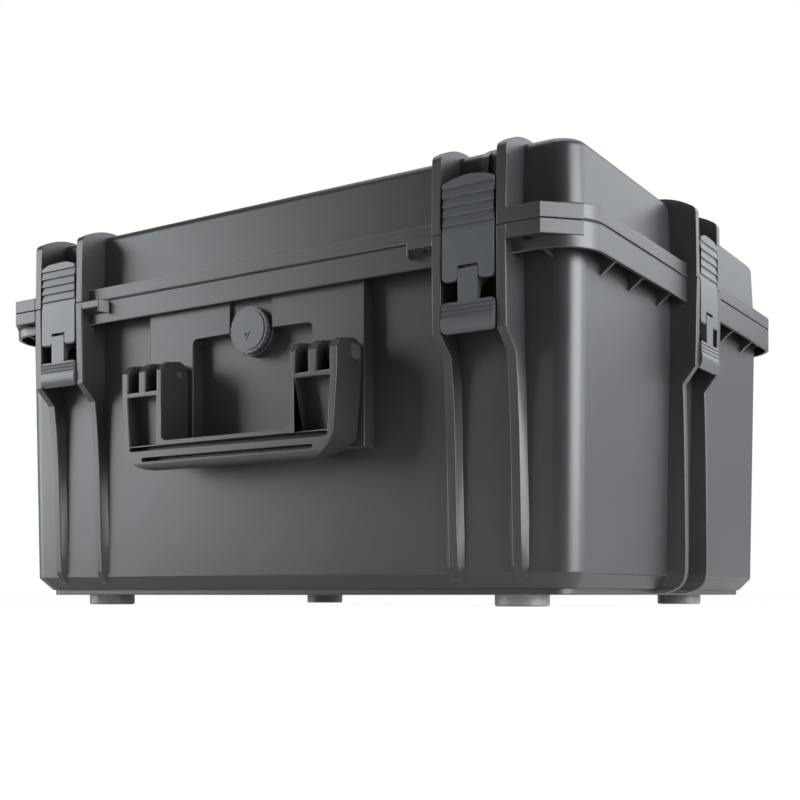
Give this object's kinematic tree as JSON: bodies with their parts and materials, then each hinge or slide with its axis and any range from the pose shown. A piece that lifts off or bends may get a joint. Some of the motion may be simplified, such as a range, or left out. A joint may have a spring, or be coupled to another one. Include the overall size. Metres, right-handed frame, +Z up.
{
  "type": "hard tool case",
  "caption": "Large hard plastic tool case with a hinged lid, lever latches with locking tabs, a folding carry handle, a pressure valve and feet.",
  "frame": {"origin": "on the floor under the middle of the whole case, the stowed handle and the rear hinges included", "axes": "+Z up, +Y towards the hinges at the back, +X to the right as seen from the front"},
  "size_m": [0.6904, 0.568, 0.382],
  "materials": {
    "shell_plastic": "satin moulded, fine grain",
    "latch_plastic": "satin",
    "rubber": "matt",
    "steel": "brushed"
  },
  "bodies": {
    "base": {"base_shell": "shell_plastic", "hinge_pins": "steel", "latch_pins": "steel", "valve_body": "latch_plastic", "valve_seal": "rubber", "valve_nut": "latch_plastic", "front_left_foot": "rubber", "front_right_foot": "rubber", "rear_left_foot": "rubber", "rear_right_foot": "rubber", "foot_screws": "steel"},
    "lid": {"lid_shell": "shell_plastic", "lid_gasket": "rubber"},
    "front_left_lever": {"front_left_latch_lever": "latch_plastic"},
    "front_right_lever": {"front_right_latch_lever": "latch_plastic"},
    "right_side_lever": {"right_side_latch_lever": "latch_plastic"},
    "left_side_lever": {"left_side_latch_lever": "latch_plastic"},
    "front_left_tab": {"front_left_lock_tab": "latch_plastic"},
    "front_right_tab": {"front_right_lock_tab": "latch_plastic"},
    "right_side_tab": {"right_side_lock_tab": "latch_plastic"},
    "left_side_tab": {"left_side_lock_tab": "latch_plastic"},
    "handle": {"carry_handle": "shell_plastic", "handle_pins": "latch_plastic"},
    "knob": {"valve_knob": "latch_plastic"}
  },
  "joints": [
    {"name": "lid_hinge", "type": "hinge", "parent": "base", "child": "lid", "pos_m": [0, 0.278, 0.3012], "axis": [-1, 0, 0], "range_deg": [0, 100]},
    {"name": "front_left_lever_hinge", "type": "hinge", "parent": "base", "child": "front_left_lever", "pos_m": [-0.2372, -0.2485, 0.276], "axis": [1, 0, 0], "range_deg": [0, 35]},
    {"name": "front_right_lever_hinge", "type": "hinge", "parent": "base", "child": "front_right_lever", "pos_m": [0.2372, -0.2485, 0.276], "axis": [1, 0, 0], "range_deg": [0, 35]},
    {"name": "right_side_lever_hinge", "type": "hinge", "parent": "base", "child": "right_side_lever", "pos_m": [0.33, 0.011, 0.276], "axis": [0, 1, 0], "range_deg": [0, 35]},
    {"name": "left_side_lever_hinge", "type": "hinge", "parent": "base", "child": "left_side_lever", "pos_m": [-0.33, 0.011, 0.276], "axis": [0, -1, 0], "range_deg": [0, 35]},
    {"name": "front_left_tab_hinge", "type": "hinge", "parent": "base", "child": "front_left_tab", "pos_m": [-0.2372, -0.2485, 0.276], "axis": [1, 0, 0], "range_deg": [-30, 0]},
    {"name": "front_right_tab_hinge", "type": "hinge", "parent": "base", "child": "front_right_tab", "pos_m": [0.2372, -0.2485, 0.276], "axis": [1, 0, 0], "range_deg": [-30, 0]},
    {"name": "right_side_tab_hinge", "type": "hinge", "parent": "base", "child": "right_side_tab", "pos_m": [0.33, 0.011, 0.276], "axis": [0, 1, 0], "range_deg": [-30, 0]},
    {"name": "left_side_tab_hinge", "type": "hinge", "parent": "base", "child": "left_side_tab", "pos_m": [-0.33, 0.011, 0.276], "axis": [0, -1, 0], "range_deg": [-30, 0]},
    {"name": "handle_hinge", "type": "hinge", "parent": "base", "child": "handle", "pos_m": [0, -0.259, 0.2165], "axis": [-1, 0, 0], "range_deg": [0, 95]},
    {"name": "valve_turn", "type": "hinge", "parent": "base", "child": "knob", "pos_m": [0, -0.249, 0.252], "axis": [0, -1, 0], "range_deg": [0, 120]}
  ]
}
